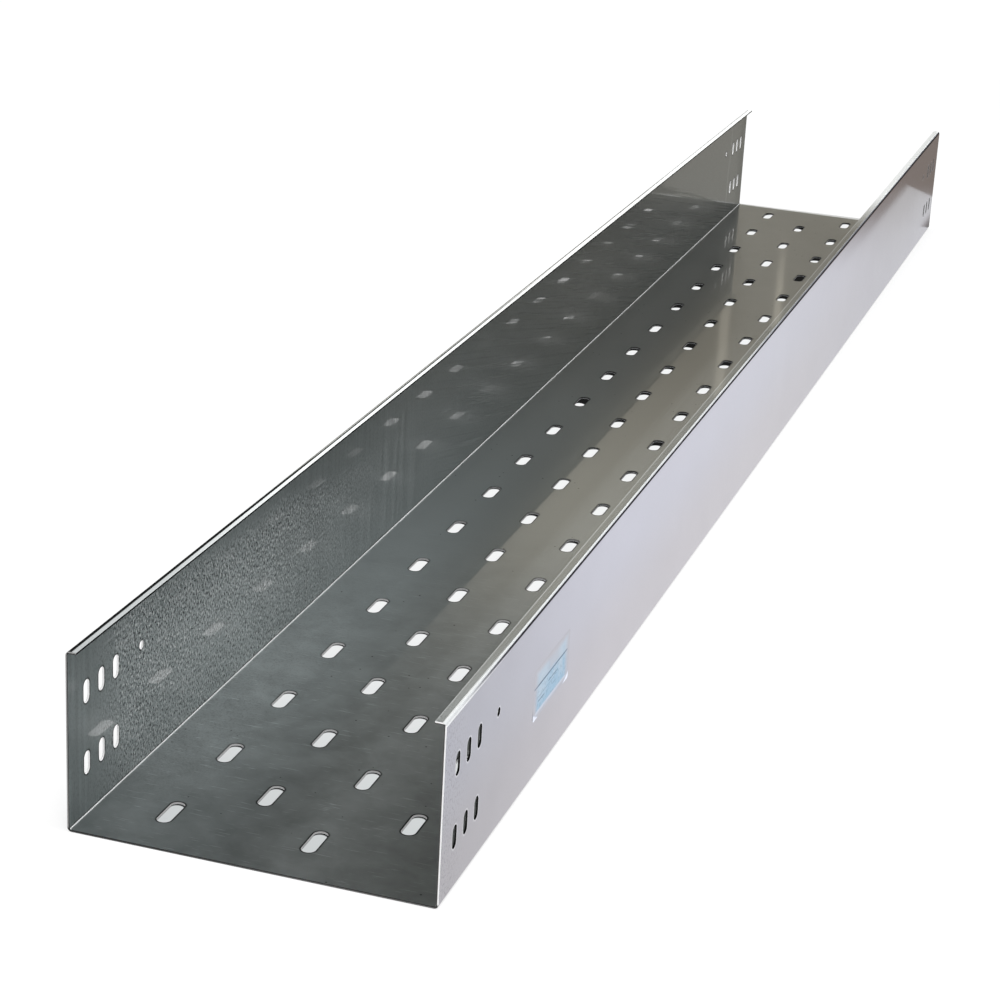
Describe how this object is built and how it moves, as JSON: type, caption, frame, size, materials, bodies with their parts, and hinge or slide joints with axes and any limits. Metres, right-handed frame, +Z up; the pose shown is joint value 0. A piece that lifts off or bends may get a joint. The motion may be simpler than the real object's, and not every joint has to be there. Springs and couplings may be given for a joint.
{
  "type": "perforated cable tray",
  "caption": "Straight galvanised steel cable tray: a folded channel with inturned lips, staggered slots in the base and vertical joint slots at both ends of each wall.",
  "frame": {"origin": "on the underside of the base, midway along the length and midway between the walls", "axes": "+X across the tray, +Y along its length, +Z up out of the open mouth"},
  "size_m": [0.2, 1.5, 0.1],
  "materials": {
    "galvanised_sheet": "hot-dip galvanised sheet with a fine spangle, satin"
  },
  "bodies": {
    "root": {"tray": "galvanised_sheet"}
  },
  "joints": []
}
